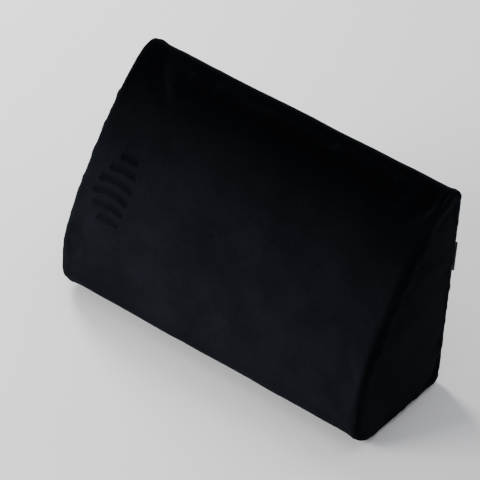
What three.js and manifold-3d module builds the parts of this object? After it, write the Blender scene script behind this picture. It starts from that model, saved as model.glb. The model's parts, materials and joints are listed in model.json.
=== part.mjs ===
// A lumbar support cushion for an office or gaming chair: a D-section foam block in a fabric liner and a
// zipped velour cover, with an elastic strap, a side-release buckle and a strap adjuster across its back.
//
// Millimetres. +X runs along the cushion's length, +Y points to the chair's backrest and +Z is up.
// The origin is on the seat, under the middle of the cushion.

import * as THREE from 'three';
import { mergeVertices } from 'three/addons/utils/BufferGeometryUtils.js';
import Module from 'manifold-3d';

const wasm = await Module();
wasm.setup();

// ---- Driving dimensions ----

const LENGTH = 317; // along X, over the two end panels
const DEPTH = 125; // along Y, from the belly to the flat back
const HEIGHT = 211; // along Z
const GAP = 0.3; // between pieces that touch in the real cushion

const SHIN_RADIUS = 29; // lower front edge
const SHIN_TOP = 51; // height where the front starts to lean back
const FRONT_PULL = 37; // how far the front keeps going up before it leans back
const TOP_PULL = 32; // how far the flat top reaches forward into the curve
const HEEL_RADIUS = 10; // lower back edge
const CREST_RADIUS = 15; // upper back edge
const ROUND_STEPS = 12; // facets on each round stretch of an outline
const CORNER_STEPS = 4; // facets on a small corner
const BAR_STEPS = 16; // facets round a bar
const OVERCUT = 1; // how far a cutter reaches past what it cuts
const OVERLAP = 1; // how far a joined solid reaches into the one that it grows from
const SAME_POINT = 0.01; // points of an outline closer than this are one

const COVER = 2; // velour with its backing
const LINER = 0.8;

const ZIP_HEIGHT = 42; // the closed zip's middle line, above the seat
const TAPE = 0.7;
const TAPE_WIDTH = 14;
const TAPE_PARTING = 1.2; // from the zip's middle line to a tape's edge
const COIL_WIDTH = 2.8; // one side of the closed coil
const COIL_THICKNESS = 2.2;
const COIL_PARTING = 0.15; // from the zip's middle line to a coil
const ZIP_MARGIN = 32; // from an end of the cushion to the stops
const STOP_LENGTH = 2.6;
const STOP_WIDTH = 2.4;
const BOTTOM_STOP_LENGTH = 4;

const SLIDER_LENGTH = 11;
const SLIDER_PLATE = 1;
const SLIDER_FLARE = 0.8; // its end that faces the top stops is this much wider, each side
const SLIDER_COIL_CLEAR = 0.25; // between a coil and a flange
const FLANGE = 0.7;
const WEDGE_LENGTH = 1.4; // the post that parts the coils
const WEDGE_WIDTH = 1.2;
const BRIDGE_LENGTH = 8;
const BRIDGE_WIDTH = 2.2;
const BRIDGE_BAR = 1;
const BRIDGE_CLEAR = 1.7; // under the bridge, for the pull's pin

const PULL_LENGTH = 30;
const PULL_WIDTH = 8;
const PULL_NECK = 6.4;
const PULL_THICKNESS = 1;
const PULL_PIN = 1;
const PULL_WINDOW = 3; // across the bridge
const PULL_WINDOW_LENGTH = 5.2; // from the pin's middle to the window's far end
const PULL_NECK_LENGTH = 9;

const STRAP_HEIGHT = 134; // the strap's middle line, above the seat
const STRAP_WIDTH = 30;
const STRAP = 1.5;
const STRAP_RISE = 14; // run over which a strap climbs to a bar or down to its seam
const STRAP_HEM = 18; // stitched lap beyond the climb

const BUCKLE_MOUTH = -70; // x of the socket's mouth
const BUCKLE_ARM = 4.6; // width of an arm beside a strap slot
const BUCKLE_WALL = 4.2; // the socket's side walls
const BUCKLE_SKIN = 1.7; // the socket's broad walls
const BUCKLE_THICKNESS = 8.4;
const BUCKLE_LIFT = 0.6; // between the back panel and the buckle
const BUCKLE_CORNER = 4;
const BAR_RADIUS = 1.6;
const BAR_CLEAR = 4; // slot beside a strap bar
const STRAP_SIDE_CLEAR = 0.9; // beside the strap in a slot
const SOCKET_LENGTH = 37;
const CAVITY_SPARE = 3.3; // beyond the prongs' tips
const WINDOW_START = 8; // from the mouth to the side windows
const WINDOW_LENGTH = 16.5;
const LATCH_BASE = 5; // the latch's shoulder outside the mouth
const LATCH_SEAT = 0.4; // between that shoulder and the mouth
const PRONG_FLAT_CLEAR = 0.4; // between a prong and a broad wall
const PRONG_ROOT = 0.3; // from the mouth
const PRONG_RECESS = 0.9; // from the buckle's side in to a head
const PRONG_CATCH = 1.2; // how far a hook reaches past the mouth's side
const PRONG_INSET = 3.8; // from the mouth's side in to an arm
const PRONG_ARM_WIDTH = 4;
const PRONG_THINNING = 1; // how much the arm's inner side comes out by the hook
const PRONG_STEP = 0.5; // from the arm's outer side to the root of the hook
const PRONG_RAMP = 4; // from the hook's edge to where the head has half swelled
const PRONG_SHOULDER = 5; // from the tip to where the head is widest
const PRONG_HEEL = 0.5; // how far the head reaches in past the arm's inner side
const PRONG_TIP = 3; // length of the bevel inside the tip
const PRONG_TIP_INSET = 2; // how far that bevel comes out
const PRONG_NOSE = 1; // length of the bevel outside the tip
const PRONG_NOSE_INSET = 3; // how far in that bevel ends from the head's side
const PRONG_HOOK_CLEAR = 0.6; // between a hook and its window's near edge
const PRONG_TIP_CLEAR = 0.8; // between a tip and its window's far edge
const GUIDE_TIP_CLEAR = 1; // between the guide's tip and the cavity's end
const GUIDE_WIDTH = 4.4;

const ADJUSTER_X = 82;
const ADJUSTER_LENGTH = 24;
const ADJUSTER_RAIL = 2.6;
const ADJUSTER_BAR = 2; // thickness of the outer bars
const ADJUSTER_BAR_WIDTH = 3.5;
const ADJUSTER_CENTRE_BAR = 4.4; // width of the bar between the slots
const ADJUSTER_CORNER = 3;

const LABEL_X = -108;
const LABEL_WIDTH = 24;
const LABEL_DROP = 20;
const LABEL = 0.6;
const LABEL_MARGIN = 1.5; // below the lower back panel's top edge
const BAND_MARGIN = 4; // from the zip's slot, and from the buckle, to the clear stretch between them

// ---- Places worked out from them ----

const BACK = DEPTH / 2; // y of the back panels' outer faces
const END = LENGTH / 2; // x of an end panel's outer face
const PANEL_END = END - COVER - GAP; // where panels and tapes meet an end panel
const LINER_INSET = COVER + GAP;
const TAPE_FACE = BACK - COVER - GAP; // y of a tape's outer face
const COIL_FACE = TAPE_FACE + GAP; // y of a coil's inner face
const LOWER_PLATE_FACE = TAPE_FACE - TAPE - GAP; // y of the slider's lower plate, outer face
const LINER_BACK_INSET = BACK - (LOWER_PLATE_FACE - SLIDER_PLATE - GAP);
const FOAM_INSET = LINER_INSET + LINER + GAP;
const FOAM_BACK_INSET = LINER_BACK_INSET + LINER + GAP;

const ZIP_END = END - ZIP_MARGIN; // x of the top stops' far ends, and of the bottom stop's on the other side
const SLIDER_X = ZIP_END - STOP_LENGTH - GAP - SLIDER_LENGTH / 2;
const WEDGE_X = SLIDER_LENGTH / 2 - WEDGE_LENGTH; // from the slider's middle
const COIL_END = SLIDER_X + WEDGE_X - GAP;
const SLIDER_TAIL = COIL_PARTING + COIL_WIDTH + SLIDER_COIL_CLEAR + FLANGE; // half width at its narrow end
const SLIDER_HEAD = SLIDER_TAIL + SLIDER_FLARE;
const SLOT_EDGE = SLIDER_HEAD + GAP; // from the zip's middle line to a back panel
const PLATE_TOP = COIL_FACE + COIL_THICKNESS + GAP + SLIDER_PLATE;
const PULL_Y = PLATE_TOP + BRIDGE_CLEAR / 2; // the pull's hinge line

const STRAP_LOW = BACK + GAP + STRAP / 2; // y of a strap that lies on the back panel
const STRAP_HIGH = STRAP_LOW + STRAP + GAP; // y of a strap that lies on another
const STRAP_TURN = BAR_RADIUS + GAP + STRAP / 2; // radius of a strap's middle round a bar
const BAR_Y = STRAP_LOW + STRAP_TURN;
const BUCKLE_TOP = BACK + BUCKLE_LIFT + BUCKLE_THICKNESS;
const BUCKLE_Y = BUCKLE_TOP - BUCKLE_THICKNESS / 2;
const SLOT_HALF = STRAP_WIDTH / 2 + STRAP_SIDE_CLEAR;
const BUCKLE_HALF = SLOT_HALF + BUCKLE_ARM;
const MOUTH_HALF = BUCKLE_HALF - BUCKLE_WALL;
const CAVITY_HEIGHT = BUCKLE_THICKNESS - 2 * BUCKLE_SKIN;
const PRONG_HEIGHT = CAVITY_HEIGHT - 2 * PRONG_FLAT_CLEAR;
const PRONG_LENGTH = WINDOW_START + WINDOW_LENGTH - PRONG_TIP_CLEAR;
const CAVITY_LENGTH = PRONG_LENGTH + CAVITY_SPARE;
const SOCKET_BAR_X = BUCKLE_MOUTH + SOCKET_LENGTH + BAR_CLEAR + BAR_RADIUS;
const LATCH_BASE_X = BUCKLE_MOUTH - LATCH_SEAT - LATCH_BASE;
const LATCH_BAR_X = LATCH_BASE_X - BAR_CLEAR - BAR_RADIUS;

// ---- Materials ----

const cloth = (color, roughness = 1) => new THREE.MeshStandardMaterial({ color, roughness, metalness: 0 });
const velour = cloth(0x14171c);
const backing = cloth(0x17191d);
const foam = cloth(0xd8cfa6);
const lining = cloth(0xe6e4de);
const webbing = cloth(0x111214, 0.9);
const tape = cloth(0x121316, 0.9);
const satin = cloth(0x1d1e20, 0.6);
const nylon = new THREE.MeshStandardMaterial({ color: 0x16171a, roughness: 0.45, metalness: 0 });
const acetal = new THREE.MeshStandardMaterial({ color: 0x131416, roughness: 0.4, metalness: 0 });
const enamel = new THREE.MeshStandardMaterial({ color: 0x1b1c1f, roughness: 0.35, metalness: 0.6 });

// ---- Outlines ----

// An open line moved sideways by a distance, to its left as it is walked.
function beside(points, distance) {
  const normal = (a, b) => new THREE.Vector2(a.y - b.y, b.x - a.x).normalize();
  return points.map((p, i) => {
    const before = normal(points[Math.max(i - 1, 0)], points[Math.max(i, 1)]);
    const after = normal(points[Math.min(i, points.length - 2)], points[Math.min(i + 1, points.length - 1)]);
    const bisector = before.clone().add(after).normalize();
    return p.clone().addScaledVector(bisector, distance / bisector.dot(after));
  });
}

// The cushion's section as (y, z), from the bottom of the back panels round the belly to their top.
function section(inset = 0, backInset = inset) {
  const front = -DEPTH / 2;
  const path = new THREE.Path();
  path.moveTo(BACK, HEEL_RADIUS);
  path.absarc(BACK - HEEL_RADIUS, HEEL_RADIUS, HEEL_RADIUS, 0, -Math.PI / 2, true);
  path.lineTo(0, 0); // the seat's side of the origin
  path.lineTo(front + SHIN_RADIUS, 0);
  path.absarc(front + SHIN_RADIUS, SHIN_RADIUS, SHIN_RADIUS, -Math.PI / 2, -Math.PI, true);
  path.lineTo(front, SHIN_TOP);
  const crest = BACK - CREST_RADIUS;
  path.bezierCurveTo(front, SHIN_TOP + FRONT_PULL, crest - TOP_PULL, HEIGHT, crest, HEIGHT);
  path.absarc(crest, HEIGHT - CREST_RADIUS, CREST_RADIUS, Math.PI / 2, 0, true);
  const moved = beside(distinct(path.getPoints(ROUND_STEPS)), -inset);
  const limit = BACK - backInset;
  const short = (p) => p.x < limit - SAME_POINT;
  const corner = (p, i) => [p, moved.at(i - 1), moved[(i + 1) % moved.length]].some(short);
  return moved.filter(corner).map((p) => new THREE.Vector2(Math.min(p.x, limit), p.y));
}

function distinct(points) {
  return points.filter((p, i) => i === 0 || p.distanceTo(points[i - 1]) > SAME_POINT);
}

// A band of one thickness along a line.
function band(line, thickness) {
  const points = distinct(line);
  const one = beside(points, thickness / 2);
  const other = beside(points, -thickness / 2);
  return new THREE.Shape([...one, ...other.reverse()]);
}

function box2(x0, y0, x1, y1) {
  return new THREE.Shape([[x0, y0], [x1, y0], [x1, y1], [x0, y1]].map((p) => new THREE.Vector2(...p)));
}

function roundedBox2(x0, y0, x1, y1, r) {
  const shape = new THREE.Shape();
  shape.absarc(x0 + r, y0 + r, r, Math.PI, Math.PI * 1.5);
  shape.absarc(x1 - r, y0 + r, r, Math.PI * 1.5, Math.PI * 2);
  shape.absarc(x1 - r, y1 - r, r, 0, Math.PI / 2);
  shape.absarc(x0 + r, y1 - r, r, Math.PI / 2, Math.PI);
  return shape;
}

// ---- Solids ----

function extrude(shape, depth) {
  return new THREE.ExtrudeGeometry(shape, { depth, bevelEnabled: false, curveSegments: CORNER_STEPS });
}

// A plate whose outline is drawn in X and Z, from y0 to y1.
function plate(shape, y0, y1) {
  return extrude(shape, y1 - y0).rotateX(Math.PI / 2).translate(0, y1, 0);
}

function block(x0, x1, y0, y1, z0, z1) {
  return new THREE.BoxGeometry(x1 - x0, y1 - y0, z1 - z0)
    .translate((x0 + x1) / 2, (y0 + y1) / 2, (z0 + z1) / 2);
}

function solid(geometry) {
  const bare = geometry.clone();
  bare.deleteAttribute('normal');
  bare.deleteAttribute('uv');
  const merged = mergeVertices(bare, 1e-4);
  const vertProperties = merged.attributes.position.array;
  const triVerts = new Uint32Array(merged.index.array);
  return new wasm.Manifold(new wasm.Mesh({ numProp: 3, vertProperties, triVerts }));
}

function geometryOf(manifold) {
  const made = manifold.getMesh();
  const geometry = new THREE.BufferGeometry();
  geometry.setAttribute('position', new THREE.Float32BufferAttribute(made.vertProperties, 3));
  geometry.setIndex([...made.triVerts]);
  geometry.computeVertexNormals();
  return geometry;
}

const joined = (...geometries) => geometries.map(solid).reduce((all, one) => all.add(one));
const less = (whole, ...cuts) => cuts.map(solid).reduce((left, cut) => left.subtract(cut), whole);

// ---- The scene graph ----

const cushion = new THREE.Group();

function add(name, geometry, material, parent = cushion) {
  const mesh = new THREE.Mesh(geometry, material);
  mesh.name = name;
  parent.add(mesh);
  return mesh;
}

// Outlines drawn in (y, z) are pushed along X, the same way for every piece of the cushion's section.
const lengthwise = new THREE.Quaternion().setFromRotationMatrix(
  new THREE.Matrix4().makeBasis(
    new THREE.Vector3(0, 1, 0),
    new THREE.Vector3(0, 0, 1),
    new THREE.Vector3(1, 0, 0),
  ),
);

function addLengthwise(name, shape, x0, x1, material) {
  placeLengthwise(name, extrude(shape, x1 - x0), x0, material);
}

function placeLengthwise(name, geometry, x0, material) {
  const mesh = add(name, geometry, material);
  mesh.quaternion.copy(lengthwise);
  mesh.position.x = x0;
}

// ---- Foam and liner ----

const linerEnd = PANEL_END;
const sleeveEnd = linerEnd - LINER - GAP;

const foamSection = new THREE.Shape(section(FOAM_INSET, FOAM_BACK_INSET));
addLengthwise('foam_core', foamSection, -sleeveEnd, sleeveEnd, foam);

const linerCap = new THREE.Shape(section(LINER_INSET, LINER_BACK_INSET));
const sleeveInside = new THREE.Shape(section(LINER_INSET + LINER, LINER_BACK_INSET + LINER));
const sleeve = less(
  solid(extrude(linerCap, 2 * sleeveEnd)),
  extrude(sleeveInside, 2 * (sleeveEnd + OVERCUT)).translate(0, 0, -OVERCUT),
);
placeLengthwise('liner_sleeve', geometryOf(sleeve), -sleeveEnd, lining);

addLengthwise('liner_end_left', linerCap, -linerEnd, -linerEnd + LINER, lining);
addLengthwise('liner_end_right', linerCap, linerEnd - LINER, linerEnd, lining);

// ---- Velour cover ----

const wrap = new THREE.Shape([...section(), ...section(COVER).reverse()]);
addLengthwise('cover_front_wrap', wrap, -PANEL_END, PANEL_END, velour);

const endPanel = new THREE.Shape(section());
addLengthwise('cover_end_left', endPanel, -END, -END + COVER, velour);
addLengthwise('cover_end_right', endPanel, END - COVER, END, velour);

// The upper back panel is drawn in bands, so that the stretch between zip and buckle is a face of its own.
const backBands = [
  ZIP_HEIGHT + SLOT_EDGE,
  ZIP_HEIGHT + SLOT_EDGE + BAND_MARGIN,
  STRAP_HEIGHT - BUCKLE_HALF - BAND_MARGIN,
  HEIGHT - CREST_RADIUS - GAP,
];
const backUpper = new THREE.Shape([
  ...backBands.map((z) => new THREE.Vector2(BACK, z)),
  ...backBands.map((z) => new THREE.Vector2(BACK - COVER, z)).reverse(),
]);
addLengthwise('cover_back_upper', backUpper, -PANEL_END, PANEL_END, backing);

const backLower = box2(BACK - COVER, HEEL_RADIUS + GAP, BACK, ZIP_HEIGHT - SLOT_EDGE);
addLengthwise('cover_back_lower', backLower, -PANEL_END, PANEL_END, backing);

// ---- Zip ----

// The zip is drawn about its middle line; its upper and lower sides mirror each other.
const zip = new THREE.Group();
zip.position.set(0, 0, ZIP_HEIGHT);
cushion.add(zip);

const across = (side, near, far) => (side > 0 ? [near, far] : [-far, -near]);

for (const [word, side] of [['upper', 1], ['lower', -1]]) {
  const tapeZ = across(side, TAPE_PARTING, TAPE_PARTING + TAPE_WIDTH);
  add(`zip_tape_${word}`, block(-PANEL_END, PANEL_END, TAPE_FACE - TAPE, TAPE_FACE, ...tapeZ), tape, zip);

  const coilZ = across(side, COIL_PARTING, COIL_PARTING + COIL_WIDTH);
  const coilStart = -ZIP_END + BOTTOM_STOP_LENGTH + GAP;
  const coil = block(coilStart, COIL_END, COIL_FACE, COIL_FACE + COIL_THICKNESS, ...coilZ);
  add(`zip_coil_${word}`, coil, nylon, zip);

  const stopZ = across(side, TAPE_PARTING, TAPE_PARTING + STOP_WIDTH);
  const stopX = [ZIP_END - STOP_LENGTH, ZIP_END];
  add(`zip_top_stop_${word}`, block(...stopX, COIL_FACE, COIL_FACE + COIL_THICKNESS, ...stopZ), enamel, zip);
}

const bottomStopX = [-ZIP_END, -ZIP_END + BOTTOM_STOP_LENGTH];
const bottomStopZ = [-COIL_PARTING - COIL_WIDTH, COIL_PARTING + COIL_WIDTH];
const bottomStop = block(...bottomStopX, COIL_FACE, COIL_FACE + COIL_THICKNESS, ...bottomStopZ);
add('zip_bottom_stop', bottomStop, enamel, zip);

// The slider's two plates hold the tapes between them, and its wedge parts the coils.
function sliderBody() {
  const half = SLIDER_LENGTH / 2;
  const wing = new THREE.Shape([
    new THREE.Vector2(-half, -SLIDER_TAIL),
    new THREE.Vector2(half, -SLIDER_HEAD),
    new THREE.Vector2(half, SLIDER_HEAD),
    new THREE.Vector2(-half, SLIDER_TAIL),
  ]);
  const upper = plate(wing, PLATE_TOP - SLIDER_PLATE, PLATE_TOP);
  const lower = plate(wing, LOWER_PLATE_FACE - SLIDER_PLATE, LOWER_PLATE_FACE);
  const wedgeX = [WEDGE_X, WEDGE_X + WEDGE_LENGTH];
  const wedgeZ = [-WEDGE_WIDTH / 2, WEDGE_WIDTH / 2];
  const wedge = block(...wedgeX, LOWER_PLATE_FACE - SLIDER_PLATE, PLATE_TOP, ...wedgeZ);
  const flanges = [1, -1].map((side) => {
    const edge = new THREE.Shape([
      new THREE.Vector2(-half, side * SLIDER_TAIL),
      new THREE.Vector2(half, side * SLIDER_HEAD),
      new THREE.Vector2(half, side * (SLIDER_HEAD - FLANGE)),
      new THREE.Vector2(-half, side * (SLIDER_TAIL - FLANGE)),
    ]);
    return plate(edge, TAPE_FACE + GAP, PLATE_TOP);
  });
  const arch = BRIDGE_CLEAR + BRIDGE_BAR;
  const bridgeHalf = BRIDGE_LENGTH / 2;
  const bridge = block(-bridgeHalf, bridgeHalf, PLATE_TOP - SLIDER_PLATE, PLATE_TOP + arch,
    -BRIDGE_WIDTH / 2, BRIDGE_WIDTH / 2);
  const under = block(-bridgeHalf + BRIDGE_BAR, bridgeHalf - BRIDGE_BAR, PLATE_TOP, PLATE_TOP + BRIDGE_CLEAR,
    -BRIDGE_WIDTH, BRIDGE_WIDTH);
  return geometryOf(less(joined(upper, lower, wedge, ...flanges, bridge), under));
}

const slider = new THREE.Group();
slider.position.x = SLIDER_X;
zip.add(slider);
add('zip_slider', sliderBody(), enamel, slider);

// The pull lies over the closed zip, with its pin under the slider's bridge.
function pullTab() {
  const outline = new THREE.Shape();
  outline.moveTo(PULL_PIN / 2, -PULL_NECK / 2);
  outline.lineTo(PULL_PIN / 2, PULL_NECK / 2);
  outline.lineTo(-PULL_NECK_LENGTH, PULL_NECK / 2);
  outline.lineTo(-PULL_NECK_LENGTH - PULL_WIDTH / 4, PULL_WIDTH / 2);
  outline.absarc(-PULL_LENGTH + PULL_WIDTH / 2, 0, PULL_WIDTH / 2, Math.PI / 2, Math.PI * 1.5);
  outline.lineTo(-PULL_NECK_LENGTH - PULL_WIDTH / 4, -PULL_WIDTH / 2);
  outline.lineTo(-PULL_NECK_LENGTH, -PULL_NECK / 2);
  outline.holes.push(box2(-PULL_WINDOW_LENGTH, -PULL_WINDOW / 2, -PULL_PIN / 2, PULL_WINDOW / 2));
  return plate(outline, PULL_Y - PULL_THICKNESS / 2, PULL_Y + PULL_THICKNESS / 2);
}

add('zip_pull', pullTab(), enamel, slider);

// ---- Care label ----

const labelTop = ZIP_HEIGHT - SLOT_EDGE - LABEL_MARGIN;
const labelX = [LABEL_X - LABEL_WIDTH / 2, LABEL_X + LABEL_WIDTH / 2];
add('care_label', block(...labelX, BACK + GAP, BACK + GAP + LABEL, labelTop - LABEL_DROP, labelTop), satin);

// ---- Strap, buckle and adjuster ----

// This group's Z is measured from the strap's middle line.
const fastening = new THREE.Group();
fastening.position.z = STRAP_HEIGHT;
cushion.add(fastening);

function addStrap(name, path) {
  const strap = extrude(band(path.getPoints(ROUND_STEPS), STRAP), STRAP_WIDTH);
  add(name, strap.translate(0, 0, -STRAP_WIDTH / 2), webbing, fastening);
}

// The short strap runs from the left seam under the latch's bar, and its end is stitched down on top.
function shortStrap() {
  const path = new THREE.Path();
  path.moveTo(-PANEL_END, STRAP_LOW);
  path.lineTo(LATCH_BAR_X, STRAP_LOW);
  path.absarc(LATCH_BAR_X, BAR_Y, STRAP_TURN, -Math.PI / 2, Math.PI / 2);
  const low = LATCH_BAR_X - STRAP_RISE;
  const half = LATCH_BAR_X - STRAP_RISE / 2;
  path.bezierCurveTo(half, BAR_Y + STRAP_TURN, half, STRAP_HIGH, low, STRAP_HIGH);
  path.lineTo(low - STRAP_HEM, STRAP_HIGH);
  return path;
}

// The long strap comes from the right seam through the adjuster, turns round the socket's bar, and
// lies under itself back to the adjuster's centre bar.
function longStrap() {
  const path = new THREE.Path();
  path.moveTo(PANEL_END, STRAP_LOW);
  const seamHalf = PANEL_END - STRAP_RISE / 2;
  path.bezierCurveTo(seamHalf, STRAP_LOW, seamHalf, STRAP_HIGH, PANEL_END - STRAP_RISE, STRAP_HIGH);
  path.lineTo(SOCKET_BAR_X + STRAP_RISE, STRAP_HIGH);
  const barHalf = SOCKET_BAR_X + STRAP_RISE / 2;
  path.bezierCurveTo(barHalf, STRAP_HIGH, barHalf, BAR_Y + STRAP_TURN, SOCKET_BAR_X, BAR_Y + STRAP_TURN);
  path.absarc(SOCKET_BAR_X, BAR_Y, STRAP_TURN, Math.PI / 2, Math.PI * 1.5);
  path.lineTo(ADJUSTER_X - ADJUSTER_CENTRE_BAR / 2 - GAP, STRAP_LOW);
  return path;
}

addStrap('strap_short', shortStrap());
addStrap('strap_long', longStrap());

// A round bar that a strap turns on, and the two arms that carry it from a housing face at wallX.
function strapBar(barX, wallX) {
  const barLength = 2 * SLOT_HALF + BUCKLE_ARM;
  const bar = new THREE.CylinderGeometry(BAR_RADIUS, BAR_RADIUS, barLength, BAR_STEPS)
    .rotateX(Math.PI / 2).translate(barX, BAR_Y, 0);
  const tip = barX + Math.sign(barX - wallX) * BAR_RADIUS;
  const armX = [Math.min(tip, wallX), Math.max(tip, wallX)];
  const arms = [1, -1].map((side) => {
    const armZ = across(side, SLOT_HALF, BUCKLE_HALF);
    return block(...armX, BAR_Y - BAR_RADIUS, BUCKLE_Y + BAR_RADIUS, ...armZ);
  });
  return [bar, ...arms];
}

// The socket: a flat box, open at its mouth, with a window in each side for the latch's heads.
function socketBody() {
  const far = BUCKLE_MOUTH + SOCKET_LENGTH;
  const half = BUCKLE_HALF;
  const housing = plate(
    roundedBox2(BUCKLE_MOUTH, -half, far, half, BUCKLE_CORNER), BUCKLE_TOP - BUCKLE_THICKNESS, BUCKLE_TOP,
  );
  const inside = [BUCKLE_Y - CAVITY_HEIGHT / 2, BUCKLE_Y + CAVITY_HEIGHT / 2];
  const cavityX = [BUCKLE_MOUTH - OVERCUT, BUCKLE_MOUTH + CAVITY_LENGTH];
  const cavity = block(...cavityX, ...inside, -MOUTH_HALF, MOUTH_HALF);
  const windowX = [BUCKLE_MOUTH + WINDOW_START, BUCKLE_MOUTH + WINDOW_START + WINDOW_LENGTH];
  const windows = block(...windowX, ...inside, -half - OVERCUT, half + OVERCUT);
  const bar = strapBar(SOCKET_BAR_X, far - BUCKLE_CORNER);
  return geometryOf(less(joined(housing, ...bar), cavity, windows));
}

// The latch's shoulder, strap bar and middle guide.
function latchBase() {
  const near = BUCKLE_MOUTH - LATCH_SEAT;
  const half = BUCKLE_HALF;
  const shoulder = block(LATCH_BASE_X, near, BUCKLE_TOP - BUCKLE_THICKNESS, BUCKLE_TOP, -half, half);
  const guideX = [near - OVERLAP, BUCKLE_MOUTH + CAVITY_LENGTH - GUIDE_TIP_CLEAR];
  const guideY = [BUCKLE_Y - PRONG_HEIGHT / 2, BUCKLE_Y + PRONG_HEIGHT / 2];
  const guide = block(...guideX, ...guideY, -GUIDE_WIDTH / 2, GUIDE_WIDTH / 2);
  return geometryOf(joined(shoulder, guide, ...strapBar(LATCH_BAR_X, LATCH_BASE_X + OVERLAP)));
}

// One springy prong, drawn from its root at the mouth; its hook catches the edge of a side window.
function prong(side) {
  const hook = WINDOW_START + PRONG_HOOK_CLEAR;
  const arm = MOUTH_HALF - PRONG_INSET;
  const inner = arm - PRONG_ARM_WIDTH;
  const head = BUCKLE_HALF - PRONG_RECESS;
  const catchZ = MOUTH_HALF + PRONG_CATCH;
  const points = [
    [PRONG_ROOT, inner],
    [hook, inner + PRONG_THINNING],
    [PRONG_LENGTH - PRONG_TIP, inner - PRONG_HEEL],
    [PRONG_LENGTH, inner + PRONG_TIP_INSET],
    [PRONG_LENGTH - PRONG_NOSE, head - PRONG_NOSE_INSET],
    [PRONG_LENGTH - PRONG_SHOULDER, head],
    [hook + PRONG_RAMP, (head + catchZ) / 2],
    [hook, catchZ],
    [hook, arm + PRONG_STEP],
    [PRONG_ROOT, arm],
  ];
  const outline = new THREE.Shape(points.map(([x, z]) => new THREE.Vector2(BUCKLE_MOUTH + x, side * z)));
  return plate(outline, BUCKLE_Y - PRONG_HEIGHT / 2, BUCKLE_Y + PRONG_HEIGHT / 2);
}

add('buckle_socket', socketBody(), acetal, fastening);
add('buckle_latch', latchBase(), acetal, fastening);
add('latch_prong_upper', prong(1), acetal, fastening);
add('latch_prong_lower', prong(-1), acetal, fastening);

// The adjuster: the strap passes under its two outer bars and over its centre bar.
function adjusterFrame() {
  const half = ADJUSTER_LENGTH / 2;
  const outer = SLOT_HALF + ADJUSTER_RAIL;
  const underside = BACK + GAP;
  const strapTop = STRAP_HIGH + STRAP / 2 + GAP;
  const strapBottom = STRAP_HIGH - STRAP / 2 - GAP;
  const top = strapTop + ADJUSTER_BAR;
  const frame = plate(roundedBox2(-half, -outer, half, outer, ADJUSTER_CORNER), underside, top);
  const passage = block(-half - OVERCUT, half + OVERCUT, strapBottom, strapTop, -SLOT_HALF, SLOT_HALF);
  const barHalf = ADJUSTER_CENTRE_BAR / 2;
  const overCentre = half - ADJUSTER_BAR_WIDTH;
  const topSlot = block(-overCentre, overCentre, strapBottom, top + OVERCUT, -SLOT_HALF, SLOT_HALF);
  const underSlots = [1, -1].map((side) => {
    const slotX = across(side, barHalf, half + OVERCUT);
    return block(...slotX, underside - OVERCUT, strapTop, -SLOT_HALF, SLOT_HALF);
  });
  return geometryOf(less(solid(frame), passage, topSlot, ...underSlots));
}

const adjuster = add('strap_adjuster', adjusterFrame(), acetal, fastening);
adjuster.position.x = ADJUSTER_X;

export default cushion;
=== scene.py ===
import json
import math

import bmesh
import bpy
import numpy as np
from mathutils import Matrix, Vector, noise


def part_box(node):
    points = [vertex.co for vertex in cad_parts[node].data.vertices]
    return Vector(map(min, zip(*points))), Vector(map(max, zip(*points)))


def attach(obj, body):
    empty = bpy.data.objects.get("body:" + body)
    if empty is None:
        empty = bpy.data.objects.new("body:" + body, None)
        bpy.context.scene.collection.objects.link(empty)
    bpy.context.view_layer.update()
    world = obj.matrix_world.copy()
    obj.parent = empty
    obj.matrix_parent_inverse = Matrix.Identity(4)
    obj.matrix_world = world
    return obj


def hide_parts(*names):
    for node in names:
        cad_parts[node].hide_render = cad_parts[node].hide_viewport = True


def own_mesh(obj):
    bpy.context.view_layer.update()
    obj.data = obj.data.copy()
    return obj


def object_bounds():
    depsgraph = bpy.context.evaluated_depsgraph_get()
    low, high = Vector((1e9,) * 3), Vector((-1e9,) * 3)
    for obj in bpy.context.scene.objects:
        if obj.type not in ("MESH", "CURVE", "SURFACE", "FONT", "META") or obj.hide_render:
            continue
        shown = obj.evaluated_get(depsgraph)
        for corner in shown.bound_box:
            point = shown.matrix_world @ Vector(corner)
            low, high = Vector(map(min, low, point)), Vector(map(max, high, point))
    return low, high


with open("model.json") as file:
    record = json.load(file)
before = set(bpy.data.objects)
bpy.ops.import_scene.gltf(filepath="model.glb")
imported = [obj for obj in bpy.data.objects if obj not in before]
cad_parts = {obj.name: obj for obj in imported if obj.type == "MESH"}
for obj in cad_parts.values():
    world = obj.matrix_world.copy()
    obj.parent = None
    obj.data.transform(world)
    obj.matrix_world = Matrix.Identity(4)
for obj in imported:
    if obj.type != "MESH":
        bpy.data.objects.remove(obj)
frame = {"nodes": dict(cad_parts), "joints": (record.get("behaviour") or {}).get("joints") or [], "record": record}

CAD_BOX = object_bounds()

# Metres throughout. +X runs along the cushion, +Y points to the backrest and +Z is up.

MM = 0.001
GAP = 0.3 * MM  # between neighbours in the CAD model
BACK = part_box("cover_back_upper")[1].y
HEIGHT = CAD_BOX[1].z

# ---- Camera, floor and light ----

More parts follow.
